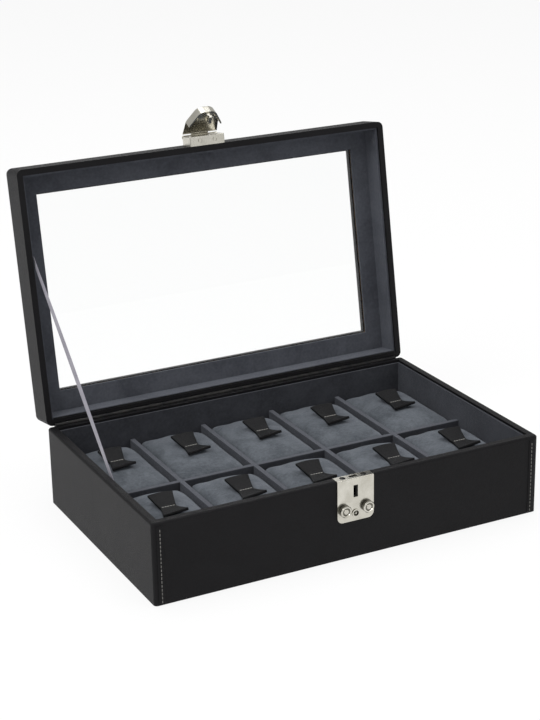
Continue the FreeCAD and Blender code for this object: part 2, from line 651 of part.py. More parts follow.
# ---------------------------------------------------------------- hasp, drawn about its pin
# inner side of the cover's skin, its back rim and its foot, seen from the pin
skinIn = "(-(bracket_out + hasp_play - hasp_pin_out))"
skinOut = "(-(bracket_out + hasp_play + hasp_skin - hasp_pin_out))"
rimIn = "(hasp_pin_out - plate - hasp_play)"
foot = "(-hasp_pin_level - hasp_low)"
shoulder = "(-hasp_cove - hasp_play)"
cover = newBody("hasp_cover")
shell = pad(cover, "cover_pad",
            polygon(sketch(cover, "cover_outline", "XZ_Plane", "-" + rimIn),
                    [("-bracket_width / 2", shoulder), ("-hasp_hip", "-hasp_hip_drop"),
                     ("-hasp_toe", foot), ("hasp_toe", foot), ("hasp_hip", "-hasp_hip_drop"),
                     ("bracket_width / 2", shoulder)]), rimIn + " - " + skinOut)
doc.recompute()
coverFront = shell.Shape.BoundBox.YMin
hipLevel = -sizes["hasp_hip_drop"]
shell = rounded(cover, "cover_foot", shell, "hasp_round",
                lambda middle, heading, bounds: abs(heading.y) > 0.99
                and middle.z < hipLevel + 1)
shell = rounded(cover, "cover_edge", shell, "hasp_skin",
                lambda middle, heading, bounds: near(bounds.YMax, coverFront))
hollow = polygon(sketch(cover, "cover_hollow", "XZ_Plane", "-" + rimIn),
                 [("-bracket_width / 2 + hasp_wall", shoulder + " - hasp_wall"),
                  ("-hasp_hip + hasp_wall", "-hasp_hip_drop"),
                  ("-hasp_toe + hasp_wall", foot + " + hasp_wall"),
                  ("hasp_toe - hasp_wall", foot + " + hasp_wall"),
                  ("hasp_hip - hasp_wall", "-hasp_hip_drop"),
                  ("bracket_width / 2 - hasp_wall", shoulder + " - hasp_wall")])
shell = pocket(cover, "cover_hollow_cut", hollow, rimIn + " - " + skinIn, reverse=True)
doc.recompute()
shell = rounded(cover, "cover_hollow_foot", shell, "hasp_round - hasp_wall",
                lambda middle, heading, bounds: abs(heading.y) > 0.99
                and middle.z < hipLevel + 1
                and near(bounds.YMin, coverFront + sizes["hasp_skin"]))
notch = sketch(cover, "cover_notch", "XZ_Plane", "-" + rimIn)
oblong(notch, centred("bracket_width"), ("-hasp_pin_level - hasp_play", "hasp_cove"))
pocket(cover, "cover_notch_cut", notch, rimIn + " - " + skinIn, reverse=True)
pad(cover, "cover_tongue",
    oblong(sketch(cover, "tongue_outline", "XZ_Plane", "-" + skinIn), centred("hasp_knuckle"),
           (shoulder + " - 1", "0")), "hasp_skin")
pad(cover, "cover_knuckle",
    circle(sketch(cover, "knuckle_end", "YZ_Plane"), "0", "0", "hasp_barrel"),
    "2 * hasp_knuckle", midplane=True)
pocket(cover, "cover_bore",
       circle(sketch(cover, "bore_end", "YZ_Plane"), "0", "0", "hasp_bore"),
       "bracket_width", midplane=True)
onHasp(cover)

# The staple's blade goes through the lock plate's slot and has one notch for each slide.
toBlade = "(base_height + rim + rim + hasp_pin_level - rim)"
bladeZ = ("blade_low - " + toBlade, "blade_high - " + toBlade)
wallIn = "hasp_pin_out"
staple = [box("staple_pad", centred("staple_half"), (skinIn, skinIn + " + staple_pad"),
              ("-hasp_pin_level - hasp_low * 0.8", "-hasp_pin_level - hasp_low * 0.15")),
          box("staple_blade", centred("blade / 2"),
              (skinIn + " + staple_pad / 2", wallIn + " + blade_deep"), bladeZ)]
layerSplit = "(slide_front + slide + slide_gap / 2)"
notches = [box("notch_a", ("blade / 2 - notch", "blade"),
               (wallIn + " + slide_front - 0.2", wallIn + " + " + layerSplit),
               ("-box_width", "0")),
           box("notch_b", ("-blade", "-blade / 2 + notch"),
               (wallIn + " + " + layerSplit, wallIn + " + layer_b + slide + 0.2"),
               ("-box_width", "0"))]
onHasp(cut("hasp_staple", fused("staple_blank", staple), notches))

# ---------------------------------------------------------------- lid stay
# A taut ribbon from the left lining near the front row to the lid's left lining.
value = {alias: sheet.get(alias) for alias in sizes}
lidTurn = Rotation(Vector(1, 0, 0), -value["lid_angle"])
hingeLine = Vector(0, value["box_width"] / 2, value["base_height"] + value["rim_gap"] / 2)
baseWall = value["box_length"] / 2 - value["leather"] - value["board"] - value["lining"]
lidWall = value["box_length"] / 2 - value["leather"] - value["lid_board"] - value["lining"]
stayFoot = Vector(-baseWall + value["stay_play"], -value["stay_front"],
                  value["base_height"] - value["stay_drop"])
stayHead = hingeLine + lidTurn.multVec(
    Vector(-lidWall, -value["stay_reach"], value["rim_gap"] / 2 + value["stay_level"]))
run = stayHead - stayFoot
across = Vector(1, 0, 0).cross(run).normalize() * (value["ribbon_width"] / 2)
thick = Vector(value["ribbon_thick"], 0, 0)
end = Part.makePolygon([stayFoot - across, stayFoot + across, stayFoot + across + thick,
                        stayFoot - across + thick, stayFoot - across])
ribbon = doc.addObject("Part::Feature", "lid_ribbon")
ribbon.Shape = Part.Face(end).extrude(run)
keep(ribbon)

# ---------------------------------------------------------------- check and write
doc.recompute()
for item in doc.Objects:
    if "Invalid" in item.State or "Error" in item.State:
        raise RuntimeError("failed: %s %s" % (item.Name, item.State))
os.makedirs("parts", exist_ok=True)
for piece in pieces:
    shape = piece.Shape
    if shape.isNull() or not shape.isValid() or not shape.Solids:
        raise RuntimeError("bad shape: " + piece.Label)
    shape.exportStep("parts/%s.step" % piece.Label)
    print("%-18s solids %d  volume %9.1f" % (piece.Label, len(shape.Solids), shape.Volume))
print("pieces", len(pieces))
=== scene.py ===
import bpy
import json
import math
import random
from mathutils import Matrix, Vector
from mathutils import noise as noiseField


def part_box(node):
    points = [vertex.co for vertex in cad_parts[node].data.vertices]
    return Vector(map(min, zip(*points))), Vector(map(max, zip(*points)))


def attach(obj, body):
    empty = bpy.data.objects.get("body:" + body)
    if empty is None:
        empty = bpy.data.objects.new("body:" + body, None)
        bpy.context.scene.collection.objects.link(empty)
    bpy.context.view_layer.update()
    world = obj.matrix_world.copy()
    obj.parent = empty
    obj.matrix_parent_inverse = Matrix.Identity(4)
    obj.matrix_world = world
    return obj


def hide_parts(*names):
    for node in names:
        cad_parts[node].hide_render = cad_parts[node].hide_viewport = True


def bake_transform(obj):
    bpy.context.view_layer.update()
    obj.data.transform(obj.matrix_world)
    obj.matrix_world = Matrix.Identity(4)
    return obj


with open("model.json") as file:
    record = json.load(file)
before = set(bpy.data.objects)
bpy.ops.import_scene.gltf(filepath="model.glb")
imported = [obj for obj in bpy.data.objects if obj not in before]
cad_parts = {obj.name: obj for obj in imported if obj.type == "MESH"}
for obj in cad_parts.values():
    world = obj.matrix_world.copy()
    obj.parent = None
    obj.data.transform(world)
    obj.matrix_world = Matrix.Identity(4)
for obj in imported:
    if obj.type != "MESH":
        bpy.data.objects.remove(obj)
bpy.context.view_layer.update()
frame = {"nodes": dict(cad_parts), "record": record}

nodes = frame["nodes"]
bpy.context.preferences.edit.use_global_undo = False


# small helpers
def deselectAll():
    if bpy.context.object and bpy.context.object.mode != "OBJECT":
        bpy.ops.object.mode_set(mode="OBJECT")
    bpy.ops.object.select_all(action="DESELECT")


def pick(*pieces):  # select these pieces only, the last one active
    deselectAll()
    for piece in pieces:
        piece.select_set(True)
        bpy.context.view_layer.objects.active = piece


def named(name):  # the new active object takes its name
    piece = bpy.context.object
    piece.name = name
    piece.data.name = name
    return piece


def settle(piece):  # put place, turn and scale into the mesh
    pick(piece)
    bpy.ops.object.transform_apply(location=True, rotation=True, scale=True)
    return piece


def pickVerts(piece, test):  # edit mode with only the passing vertices selected
    pick(piece)
    bpy.ops.object.mode_set(mode="EDIT")
    bpy.ops.mesh.select_mode(type="VERT")
    bpy.ops.mesh.select_all(action="DESELECT")
    bpy.ops.object.mode_set(mode="OBJECT")
    for vert in piece.data.vertices:
        vert.select = test(vert.co)
    bpy.ops.object.mode_set(mode="EDIT")


def modified(piece, kind, **values):  # add a modifier, set it and apply it
    pick(piece)
    modifier = piece.modifiers.new(kind.title(), kind)
    for key, value in values.items():
        setattr(modifier, key, value)
    bpy.ops.object.modifier_apply(modifier=modifier.name)
    return piece


def copied(piece, name, shift=(0, 0, 0), turn=0.0):  # a copy with its own mesh, turned and moved
    copy = piece.copy()
    copy.data = piece.data.copy()
    copy.name = copy.data.name = name
    bpy.context.scene.collection.objects.link(copy)
    copy.data.transform(Matrix.Translation(shift) @ Matrix.Rotation(turn, 4, "Z"))
    return copy


def dressed(piece, *materials):
    piece.data.materials.clear()
    for material in materials:
        piece.data.materials.append(material)
    return piece


# camera
camera = {"spot": (-0.6440, -1.2303, 0.6464), "target": (-0.01767, 0.0, 0.13654),
          "roll": -1.009, "lens": 89.56, "sensor": 36.0, "reach": 100.0}


def addCamera():
    data = bpy.data.cameras.new("camera")
    data.sensor_width = camera["sensor"]
    data.lens = camera["lens"]
    data.clip_end = camera["reach"]
    holder = bpy.data.objects.new("camera", data)
    bpy.context.scene.collection.objects.link(holder)
    aim = Vector(camera["target"]) - Vector(camera["spot"])
    turn = aim.to_track_quat("-Z", "Y").to_matrix().to_4x4()
    holder.matrix_world = (Matrix.Translation(camera["spot"]) @ turn
                           @ Matrix.Rotation(math.radians(camera["roll"]), 4, "Z"))
    bpy.context.scene.camera = holder


addCamera()
print("camera placed")


# node building
def node(tree, kind, **values):  # a node with inputs set by name
    item = tree.nodes.new(kind)
    for key, value in values.items():
        if hasattr(item, key):
            setattr(item, key, value)
        else:
            item.inputs[key.replace("_", " ")].default_value = value
    return item


def join(tree, source, target):
    tree.links.new(source, target)


def ramp(tree, source, stops):
    stops = list(stops)
    item = tree.nodes.new("ShaderNodeValToRGB")
    while len(item.color_ramp.elements) < len(stops):
        item.color_ramp.elements.new(0.5)
    for element, (place, colour) in zip(item.color_ramp.elements, stops):
        element.position = place
        element.color = (*colour, 1) if len(colour) == 3 else colour
    join(tree, source, item.inputs["Fac"])
    return item.outputs["Color"]


def ranged(tree, source, low, high, fromLow=0.0, fromHigh=1.0):
    item = node(tree, "ShaderNodeMapRange", From_Min=fromLow, From_Max=fromHigh,
                To_Min=low, To_Max=high)
    join(tree, source, item.inputs["Value"])
    return item.outputs["Result"]


def math2(tree, operation, first, second):
    item = tree.nodes.new("ShaderNodeMath")
    item.operation = operation
    for slot, value in enumerate((first, second)):
        if isinstance(value, (int, float)):
            item.inputs[slot].default_value = value
        else:
            join(tree, value, item.inputs[slot])
    return item.outputs[0]


def mixedColour(tree, blend, factor, first, second):  # a colour mix, factor a socket or a number
    item = tree.nodes.new("ShaderNodeMix")
    item.data_type = "RGBA"
    item.blend_type = blend
    for label, value in (("Factor_Float", factor), ("A_Color", first), ("B_Color", second)):
        socket = next(entry for entry in item.inputs if entry.identifier == label)
        if isinstance(value, bpy.types.NodeSocket):
            join(tree, value, socket)
        else:
            socket.default_value = value
    return next(entry for entry in item.outputs if entry.identifier == "Result_Color")


def newGroup(name, inputs, outputs):  # shared effect: sockets, start and end nodes
    tree = bpy.data.node_groups.new(name, "ShaderNodeTree")
    for label, kind, value in inputs:
        socket = tree.interface.new_socket(label, in_out="INPUT", socket_type=kind)
        if value is not None:
            socket.default_value = value
    for label, kind in outputs:
        tree.interface.new_socket(label, in_out="OUTPUT", socket_type=kind)
    return tree, tree.nodes.new("NodeGroupInput"), tree.nodes.new("NodeGroupOutput")


def noise(tree, vector, scale, detail=3.0, distortion=0.0):
    item = node(tree, "ShaderNodeTexNoise", Scale=scale, Detail=detail, Distortion=distortion)
    join(tree, vector, item.inputs["Vector"])
    return item.outputs["Fac"]


# pebbled hide grain: small cells with creases, and broad soft unevenness
grainLook = {"cells": 900.0, "warp": 260.0, "warpDetail": 2.0, "shift": 0.0012, "crease": 0.22,
             "pores": 2600.0, "poreDetail": 2.0, "poreShare": 0.35, "patch": (22.0, 4.0, 0.6)}


def makeGrain():
    tree, start, end = newGroup("hideGrain",
                                [("Vector", "NodeSocketVector", None),
                                 ("Cell Scale", "NodeSocketFloat", grainLook["cells"])],
                                [("Height", "NodeSocketFloat"), ("Patch", "NodeSocketFloat")])
    cells = tree.nodes.new("ShaderNodeTexVoronoi")
    cells.feature = "DISTANCE_TO_EDGE"
    warp = node(tree, "ShaderNodeTexNoise", Scale=grainLook["warp"],
                Detail=grainLook["warpDetail"])
    join(tree, start.outputs["Vector"], warp.inputs["Vector"])
    shift = tree.nodes.new("ShaderNodeVectorMath")
    shift.operation = "MULTIPLY_ADD"
    shift.inputs[1].default_value = (grainLook["shift"],) * 3
    join(tree, warp.outputs["Color"], shift.inputs[0])
    join(tree, start.outputs["Vector"], shift.inputs[2])
    join(tree, shift.outputs[0], cells.inputs["Vector"])
    join(tree, start.outputs["Cell Scale"], cells.inputs["Scale"])
    crease = ranged(tree, cells.outputs["Distance"], 0.0, 1.0, 0.0, grainLook["crease"])
    pores = noise(tree, start.outputs["Vector"], grainLook["pores"],
                  grainLook["poreDetail"])
    height = math2(tree, "ADD", crease, math2(tree, "MULTIPLY", pores, grainLook["poreShare"]))
    join(tree, height, end.inputs["Height"])
    join(tree, noise(tree, start.outputs["Vector"], *grainLook["patch"]), end.inputs["Patch"])
    return tree


# napped suede: brushed patches where the nap lies one way or the other, and fine fuzz
napLook = {"patch": 34.0, "fuzz": 1500.0, "broad": (4.0, 0.62, 0.7), "fuzzShape": (3.0, 0.7),
           "speck": (420.0, 3.0), "broadShare": 0.66, "speckShare": 0.34, "speckHeight": 0.6}


def makeNap():
    tree, start, end = newGroup("suedeNap",
                                [("Vector", "NodeSocketVector", None),
                                 ("Patch Scale", "NodeSocketFloat", napLook["patch"]),
                                 ("Fuzz Scale", "NodeSocketFloat", napLook["fuzz"])],
                                [("Nap", "NodeSocketFloat"), ("Height", "NodeSocketFloat")])
    broad = tree.nodes.new("ShaderNodeTexNoise")
    for socket, value in zip(("Detail", "Roughness", "Distortion"), napLook["broad"]):
        broad.inputs[socket].default_value = value
    join(tree, start.outputs["Vector"], broad.inputs["Vector"])
    join(tree, start.outputs["Patch Scale"], broad.inputs["Scale"])
    fuzz = tree.nodes.new("ShaderNodeTexNoise")
    for socket, value in zip(("Detail", "Roughness"), napLook["fuzzShape"]):
        fuzz.inputs[socket].default_value = value
    join(tree, start.outputs["Vector"], fuzz.inputs["Vector"])
    join(tree, start.outputs["Fuzz Scale"], fuzz.inputs["Scale"])
    speck = noise(tree, start.outputs["Vector"], *napLook["speck"])
    mixed = math2(tree, "ADD", math2(tree, "MULTIPLY", broad.outputs["Fac"],
                                     napLook["broadShare"]),
                  math2(tree, "MULTIPLY", speck, napLook["speckShare"]))
    join(tree, mixed, end.inputs["Nap"])
    join(tree, math2(tree, "ADD", fuzz.outputs["Fac"],
                     math2(tree, "MULTIPLY", speck, napLook["speckHeight"])),
         end.inputs["Height"])
    return tree


# handling marks: fine scratches crossing two ways, and soft smears
marksLook = {"stretches": ((60.0, 60.0, 4200.0), (3600.0, 60.0, 90.0)), "lines": (1.0, 2.0, 0.4),
             "thin": (0.62, 0.78), "smear": (90.0, 3.0, 0.5)}


def makeMarks():
    tree, start, end = newGroup("handlingMarks",
                                [("Vector", "NodeSocketVector", None),
                                 ("Fineness", "NodeSocketFloat", 1.0)],
                                [("Scratch", "NodeSocketFloat"), ("Smear", "NodeSocketFloat")])
    total = None
    for stretch in marksLook["stretches"]:
        scaled = tree.nodes.new("ShaderNodeVectorMath")
        scaled.operation = "MULTIPLY"
        scaled.inputs[1].default_value = stretch
        join(tree, start.outputs["Vector"], scaled.inputs[0])
        lines = noise(tree, scaled.outputs[0], *marksLook["lines"])
        thin = ranged(tree, lines, 0.0, 1.0, *marksLook["thin"])
        total = thin if total is None else math2(tree, "MAXIMUM", total, thin)
    join(tree, math2(tree, "MULTIPLY", total, start.outputs["Fineness"]), end.inputs["Scratch"])
    join(tree, noise(tree, start.outputs["Vector"], *marksLook["smear"]), end.inputs["Smear"])
    return tree


grainGroup, napGroup, marksGroup = makeGrain(), makeNap(), makeMarks()


def newMaterial(name, **values):  # a Principled material with plain values on its own sockets
    material = bpy.data.materials.new(name)
    material.use_nodes = True
    tree = material.node_tree
    shader = tree.nodes["Principled BSDF"]
    for key, value in values.items():
        shader.inputs[key.replace("_", " ")].default_value = value
    place = tree.nodes.new("ShaderNodeTexCoord").outputs["Object"]
    return material, tree, shader, place


def useGroup(tree, group, vector, **values):
    item = tree.nodes.new("ShaderNodeGroup")
    item.node_tree = group
    join(tree, vector, item.inputs["Vector"])
    for key, value in values.items():
        item.inputs[key.replace("_", " ")].default_value = value
    return item


def bump(tree, shader, height, strength, distance):
    item = node(tree, "ShaderNodeBump", Strength=strength, Distance=distance)
    join(tree, height, item.inputs["Height"])
    join(tree, item.outputs["Normal"], shader.inputs["Normal"])


leather = {"specular": 0.125, "patch": (0.3, 0.75), "scratches": 0.5, "scratchRough": 0.06,
           "bump": 0.55}


def leatherMaterial(name, dark, light, cells, depth, rough):
    material, tree, shader, place = newMaterial(name, Specular_IOR_Level=leather["specular"])
    grain = useGroup(tree, grainGroup, place, Cell_Scale=cells)
    join(tree, ramp(tree, grain.outputs["Patch"], zip(leather["patch"], (dark, light))),
         shader.inputs["Base Color"])
    marks = useGroup(tree, marksGroup, place, Fineness=leather["scratches"])
    shine = math2(tree, "ADD", ranged(tree, grain.outputs["Patch"], rough[0], rough[1]),
                  math2(tree, "MULTIPLY", marks.outputs["Scratch"],
                        leather["scratchRough"]))
    join(tree, shine, shader.inputs["Roughness"])
    bump(tree, shader, grain.outputs["Height"], leather["bump"], depth)
    return material


suede = {"specular": 0.08, "sheen": 0.25, "sheenRough": 0.5, "tint": (0.62, 0.66, 0.74, 1),
         "patch": (0.36, 0.64), "topLightDepth": 0.0012, "rough": (0.82, 0.98), "bump": (0.6, 0.0005)}


def suedeMaterial(name, dark, light, patch, paintedTopLight=None):
    material, tree, shader, place = newMaterial(name, Specular_IOR_Level=suede["specular"],
                                                Sheen_Weight=suede["sheen"],
                                                Sheen_Roughness=suede["sheenRough"])
    shader.inputs["Sheen Tint"].default_value = suede["tint"]
    nap = useGroup(tree, napGroup, place, Patch_Scale=patch)
    colour = ramp(tree, nap.outputs["Nap"], zip(suede["patch"], (dark, light)))
    if paintedTopLight:  # the top edge is painted paler: a painted highlight where the light from above falls on it
        split = tree.nodes.new("ShaderNodeSeparateXYZ")
        join(tree, place, split.inputs[0])
        topLightShare = ranged(tree, split.outputs["Z"], 0.0, 1.0, paintedTopLight[0] - suede["topLightDepth"], paintedTopLight[0])
        colour = mixedColour(tree, "MIX", topLightShare, colour, (*paintedTopLight[1], 1))
    join(tree, colour, shader.inputs["Base Color"])
    join(tree, ranged(tree, nap.outputs["Nap"], *suede["rough"]), shader.inputs["Roughness"])
    bump(tree, shader, nap.outputs["Height"], *suede["bump"])
    return material


metal = {"patch": (0.3, 0.8), "scratchRough": 0.12, "bump": (0.08, 0.0001)}
nickelLook = ((0.66, 0.64, 0.575), (0.14, 0.26), (0.50, 0.48, 0.42))  # colour, roughness, tarnish


def metalMaterial(name, colour, rough, tarnish):
    material, tree, shader, place = newMaterial(name, Metallic=1.0)
    marks = useGroup(tree, marksGroup, place, Fineness=1.0)
    join(tree, ramp(tree, marks.outputs["Smear"], zip(metal["patch"], (colour, tarnish))),
         shader.inputs["Base Color"])
    shine = math2(tree, "ADD", ranged(tree, marks.outputs["Smear"], rough[0], rough[1]),
                  math2(tree, "MULTIPLY", marks.outputs["Scratch"],
                        metal["scratchRough"]))
    join(tree, shine, shader.inputs["Roughness"])
    bump(tree, shader, marks.outputs["Scratch"], *metal["bump"])
    return material


coverLeather = leatherMaterial("coverLeather", (0.0055, 0.0052, 0.0060), (0.0080, 0.0077, 0.0088),
                               820.0, 0.00022, (0.42, 0.52))
tabLeather = leatherMaterial("tabLeather", (0.0075, 0.0075, 0.0082), (0.0115, 0.0115, 0.0125),
                             1100.0, 0.00018, (0.5, 0.62))
# one suede in lit and shaded copies: painted shade makes the walls and dividers darker than the lid
# frame and lining, and these darker than the cushions
cushionSuede = suedeMaterial("cushionSuede", (0.054, 0.061, 0.070), (0.112, 0.123, 0.139), 38.0)
shadedWallSuede = suedeMaterial("shadedWallSuede", (0.027, 0.028, 0.033), (0.046, 0.048, 0.056), 26.0)
lessShadedFrameSuede = suedeMaterial("lessShadedFrameSuede", (0.050, 0.053, 0.064), (0.082, 0.087, 0.102), 26.0)
# painted highlight: the divider tops are painted paler than their sides
dividerSuede = suedeMaterial("dividerSuede", (0.027, 0.028, 0.033), (0.046, 0.048, 0.056), 26.0,
                             (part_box("long_divider")[1][2], (0.066, 0.069, 0.080)))
nickel = metalMaterial("nickel", *nickelLook)
steel = metalMaterial("steel", (0.42, 0.42, 0.42), (0.28, 0.42), (0.34, 0.33, 0.31))
# near-black steel: a blackened finish, made darker still as painted shade in the lock's slot and on its
# screws, and as painted dark reflection along the hinge
paintedShadeSteel = metalMaterial("paintedShadeSteel", (0.018, 0.018, 0.020), (0.35, 0.5), (0.05, 0.049, 0.046))


# painted shade: the nickel darkens with depth behind the front face, down its grooves and wells
recessShade = {"deep": 0.004, "stops": [(0.0, (1.0, 1.0, 1.0)), (0.11, (0.95, 0.95, 0.95)),
                                   (0.15, (0.24, 0.24, 0.23)), (0.24, (0.34, 0.34, 0.32)),
                                   (1.0, (0.12, 0.12, 0.12))]}


def recessShadedNickel(name, node):  # nickel with painted shade in its grooves and recesses, told apart by depth behind the front face
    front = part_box(node)[0][1]
    material = metalMaterial(name, *nickelLook)
    tree = material.node_tree
    shader = tree.nodes["Principled BSDF"]
    plain = shader.inputs["Base Color"].links[0].from_socket
    split = tree.nodes.new("ShaderNodeSeparateXYZ")
    join(tree, tree.nodes["Texture Coordinate"].outputs["Object"], split.inputs[0])
    shade = ramp(tree, ranged(tree, split.outputs["Y"], 0.0, 1.0, front, front + recessShade["deep"]),
                 recessShade["stops"])
    join(tree, mixedColour(tree, "MULTIPLY", 1.0, plain, shade), shader.inputs["Base Color"])
    return material


felt = {"specular": 0.05, "patch": 70.0, "fuzz": 900.0, "rough": (0.9, 1.0), "bump": (0.8, 0.0008),
        "stops": ((0.3, (0.010, 0.010, 0.011)), (0.7, (0.022, 0.022, 0.024)))}


def feltMaterial():
    material, tree, shader, place = newMaterial("underFelt", Specular_IOR_Level=felt["specular"])
    nap = useGroup(tree, napGroup, place, Patch_Scale=felt["patch"],
                   Fuzz_Scale=felt["fuzz"])
    join(tree, ramp(tree, nap.outputs["Nap"], felt["stops"]), shader.inputs["Base Color"])
    join(tree, ranged(tree, nap.outputs["Nap"], *felt["rough"]), shader.inputs["Roughness"])
    bump(tree, shader, nap.outputs["Height"], *felt["bump"])
    return material


board = {"specular": 0.2, "stretch": (1.0, 4.0, 2.0), "strands": (420.0, 5.0),
         "stops": ((0.3, (0.22, 0.14, 0.085)), (0.7, (0.42, 0.30, 0.19))), "rough": (0.7, 0.9),
         "bump": (0.4, 0.0003)}


def boardMaterial():
    material, tree, shader, place = newMaterial("fibreBoard", Specular_IOR_Level=board["specular"])
    fibre = tree.nodes.new("ShaderNodeVectorMath")
    fibre.operation = "MULTIPLY"
    fibre.inputs[1].default_value = board["stretch"]
    join(tree, place, fibre.inputs[0])
    strands = noise(tree, fibre.outputs[0], *board["strands"])
    join(tree, ramp(tree, strands, board["stops"]), shader.inputs["Base Color"])
    join(tree, ranged(tree, strands, *board["rough"]), shader.inputs["Roughness"])
    bump(tree, shader, strands, *board["bump"])
    return material


glass = {"colour": (0.985, 0.99, 0.988, 1), "bend": 1.45, "smear": (30.0, 3.0, 0.5),
         "rough": (0.0, 0.012)}


def glassMaterial():
    material, tree, shader, place = newMaterial("clearGlass", Transmission_Weight=1.0, IOR=glass["bend"],
                                                Base_Color=glass["colour"])
    smear = noise(tree, place, *glass["smear"])
    join(tree, ranged(tree, smear, *glass["rough"]), shader.inputs["Roughness"])
    return material


thread = {"specular": 0.25, "sheen": 0.15, "twist": (2200.0, 2.0), "stops": (0.3, 0.7),
          "rough": (0.55, 0.8), "bump": (0.7, 0.0002)}


def threadMaterial(name, dark, light):  # twisted thread, its twist drawn with fine noise
    material, tree, shader, place = newMaterial(name, Specular_IOR_Level=thread["specular"],
                                                Sheen_Weight=thread["sheen"])
    twist = noise(tree, place, *thread["twist"])
    join(tree, ramp(tree, twist, zip(thread["stops"], (dark, light))), shader.inputs["Base Color"])
    join(tree, ranged(tree, twist, *thread["rough"]), shader.inputs["Roughness"])
    bump(tree, shader, twist, *thread["bump"])
    return material


satin = {"specular": 0.4, "sheen": 0.2, "brushed": 0.5, "ribs": (110.0, 0.6, 1.0),
         "shade": (60.0, 3.0), "rough": (0.32, 0.46), "bump": (0.35, 0.00015),
         "stops": ((0.3, (0.200, 0.192, 0.228)), (0.7, (0.270, 0.260, 0.300)))}


def ribbonMaterial():  # satin: fine ribs across
    material, tree, shader, place = newMaterial("satinRibbon", Specular_IOR_Level=satin["specular"],
                                                Sheen_Weight=satin["sheen"],
                                                Anisotropic=satin["brushed"])
    along = tree.nodes.new("ShaderNodeUVMap").outputs["UV"]
    scale, twist, detail = satin["ribs"]
    ribs = node(tree, "ShaderNodeTexWave", Scale=scale, Distortion=twist, Detail=detail)
    ribs.bands_direction = "Y"
    join(tree, along, ribs.inputs["Vector"])
    shade = noise(tree, place, *satin["shade"])
    join(tree, ramp(tree, shade, satin["stops"]), shader.inputs["Base Color"])
    join(tree, ranged(tree, shade, *satin["rough"]), shader.inputs["Roughness"])
    bump(tree, shader, ribs.outputs["Fac"], *satin["bump"])
    return material


underFelt, fibreBoard, clearGlass = feltMaterial(), boardMaterial(), glassMaterial()
seamThread = threadMaterial("seamThread", (0.11, 0.107, 0.10), (0.23, 0.225, 0.21))
tabThread = threadMaterial("tabThread", (0.22, 0.215, 0.20), (0.42, 0.41, 0.385))
satinRibbon = ribbonMaterial()
print("materials made")

finishes = {"leather": coverLeather, "board": fibreBoard, "suede": shadedWallSuede,
            "felt": underFelt, "nickel": nickel, "steel": steel,
            "dark_steel": paintedShadeSteel, "glass": clearGlass, "ribbon": satinRibbon}
for part in frame["record"]["subparts"]:
    dressed(nodes[part["node"]], finishes[part["material_slot"]])
# the lid frame and lining take the less shaded copy of the suede
for name in ("lid_window_frame", "lid_lining"):
    dressed(nodes[name], lessShadedFrameSuede)
# near-black screw heads: painted shade deepening the dark marks along the lock plate's flange
dressed(nodes["lock_screws"], paintedShadeSteel)
# painted shade in the knobs' grooves and the key barrel's well
for name in ("left_knob", "right_knob", "key_barrel"):
    dressed(nodes[name], recessShadedNickel(name + "Nickel", name))
for name in [name for name in nodes if "divider" in name]:
    dressed(nodes[name], dividerSuede)


# cushions: crowned suede pads, one modelled and blown up, then copied to each place
cushion = {"shrink": 0.0012, "voxel": 0.0045, "pressure": 4.0, "frames": 20, "cap": 0.004,
           "turn": 0.006, "pinch": 0.0016, "crown": 0.0056, "ripple": 0.0011, "pinchWidth": 0.010,
           "seed": 7,
           "bevel": 0.006, "bevelSteps": 4, "flatten": 1.4, "stretch": 25, "bending": 1.5,
           "quality": 4, "across": 0.5, "along": 0.55, "level": 0.93, "rippleScale": 55.0,
           "rippleShape": (0.6, 2.0, 3), "margin": 0.0004, "proud": 0.0006, "topShare": 0.6,
           "fill": 0.8}


def padHalf():
    low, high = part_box("cushion_front_1")
    return (Vector(high) - Vector(low)) / 2


def blownUp(piece):  # cloth with pressure, its movement capped
    before = [vert.co.copy() for vert in piece.data.vertices]
    pick(piece)
    cloth = piece.modifiers.new("Cloth", "CLOTH")
    cloth.settings.use_pressure = True
    cloth.settings.uniform_pressure_force = cushion["pressure"]
    cloth.settings.effector_weights.gravity = 0
    cloth.settings.quality = cushion["quality"]
    cloth.settings.tension_stiffness = cushion["stretch"]
    cloth.settings.compression_stiffness = cushion["stretch"]
    cloth.settings.bending_stiffness = cushion["bending"]
    cloth.point_cache.frame_start = 1
    cloth.point_cache.frame_end = cushion["frames"]
    for step in range(1, cushion["frames"] + 1):
        bpy.context.scene.frame_set(step)
    bpy.ops.object.modifier_apply(modifier=cloth.name)
    for vert, was in zip(piece.data.vertices, before):
        move = vert.co - was
        if move.length > cushion["cap"]:
            vert.co = was + move.normalized() * cushion["cap"]
    bpy.context.scene.frame_set(1)


